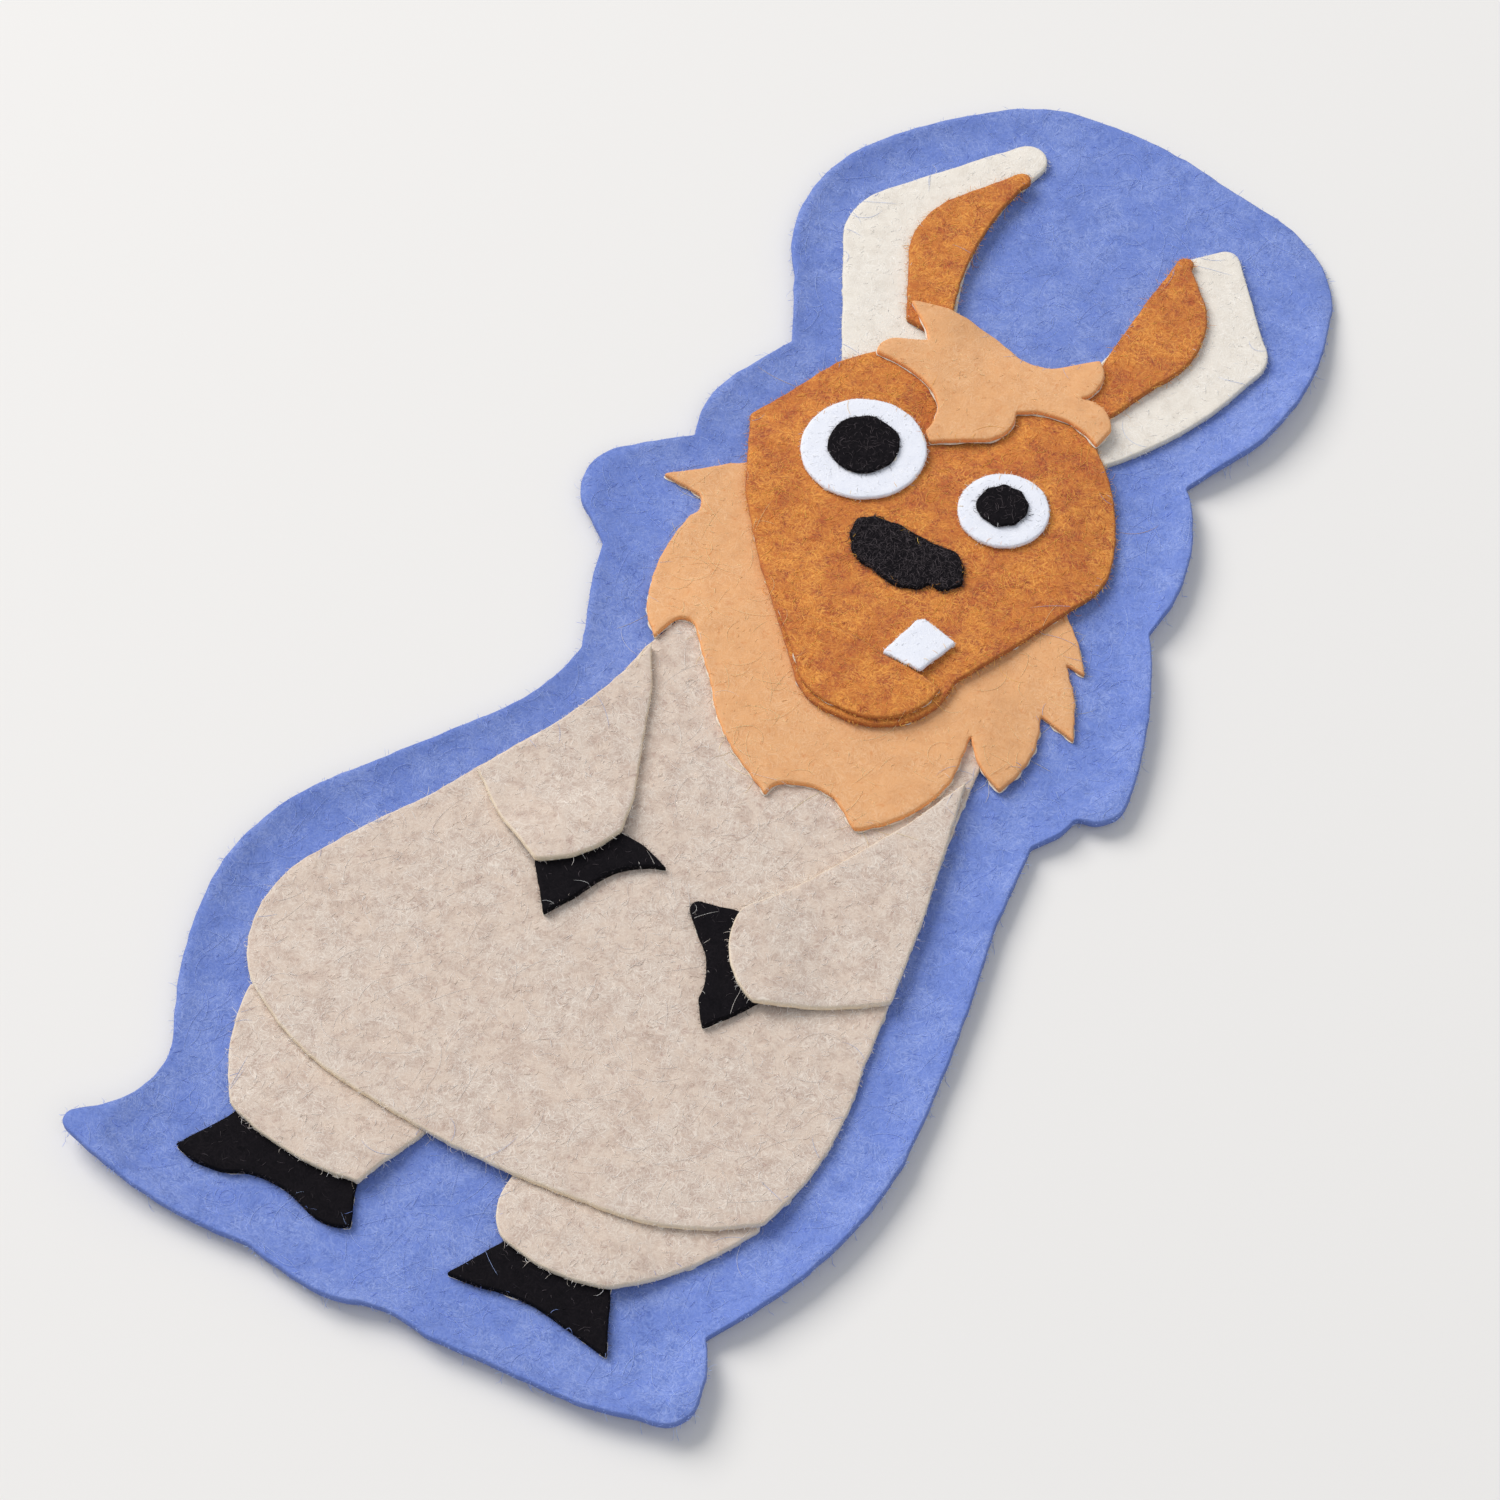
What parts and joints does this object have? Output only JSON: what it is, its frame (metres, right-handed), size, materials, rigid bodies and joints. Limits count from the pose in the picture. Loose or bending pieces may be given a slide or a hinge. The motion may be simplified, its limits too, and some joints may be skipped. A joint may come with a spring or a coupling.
{
  "type": "felt patch",
  "caption": "Flat layered felt applique of a long-necked woolly animal with tall ears, round eyes and hooves, on a shaped felt backing.",
  "frame": {"origin": "middle of the backing's back face, at the middle of the patch's outline", "axes": "+Z out of the front through the layers, +Y from the hooves to the ears, +X to the viewer's right"},
  "size_m": [0.0811, 0.1781, 0.0065],
  "materials": {
    "felt_blue": "needled felt, matt and fibrous",
    "felt_oatmeal": "needled felt, matt and fibrous",
    "felt_black": "needled felt, matt and fibrous",
    "felt_cream": "needled felt, matt and fibrous",
    "felt_brown": "needled felt, matt and fibrous",
    "felt_tan": "needled felt, matt and fibrous",
    "felt_white": "needled felt, matt and fibrous",
    "web_film": "dry fusible web, thin and open"
  },
  "bodies": {
    "root": {"backing": "felt_blue", "left_hind_hoof": "felt_black", "right_hind_hoof": "felt_black", "left_leg": "felt_oatmeal", "right_leg": "felt_oatmeal", "body": "felt_oatmeal", "left_arm": "felt_oatmeal", "right_arm": "felt_oatmeal", "left_ear": "felt_cream", "right_ear": "felt_cream", "left_ear_lining": "felt_brown", "right_ear_lining": "felt_brown", "left_fore_hoof": "felt_black", "right_fore_hoof": "felt_black", "mane": "felt_tan", "head": "felt_brown", "jaw": "felt_brown", "tooth": "felt_white", "nose": "felt_black", "forelock": "felt_tan", "left_eye_white": "felt_white", "right_eye_white": "felt_white", "left_pupil": "felt_black", "right_pupil": "felt_black", "left_hind_hoof_web": "web_film", "right_hind_hoof_web": "web_film", "left_leg_web": "web_film", "right_leg_web": "web_film", "body_web": "web_film", "left_arm_web": "web_film", "right_arm_web": "web_film", "left_ear_web": "web_film", "right_ear_web": "web_film", "left_ear_lining_web": "web_film", "right_ear_lining_web": "web_film", "left_fore_hoof_web": "web_film", "right_fore_hoof_web": "web_film", "mane_web": "web_film", "head_web": "web_film", "jaw_web": "web_film", "tooth_web": "web_film", "nose_web": "web_film", "forelock_web": "web_film", "left_eye_white_web": "web_film", "right_eye_white_web": "web_film", "left_pupil_web": "web_film", "right_pupil_web": "web_film"}
  },
  "joints": []
}
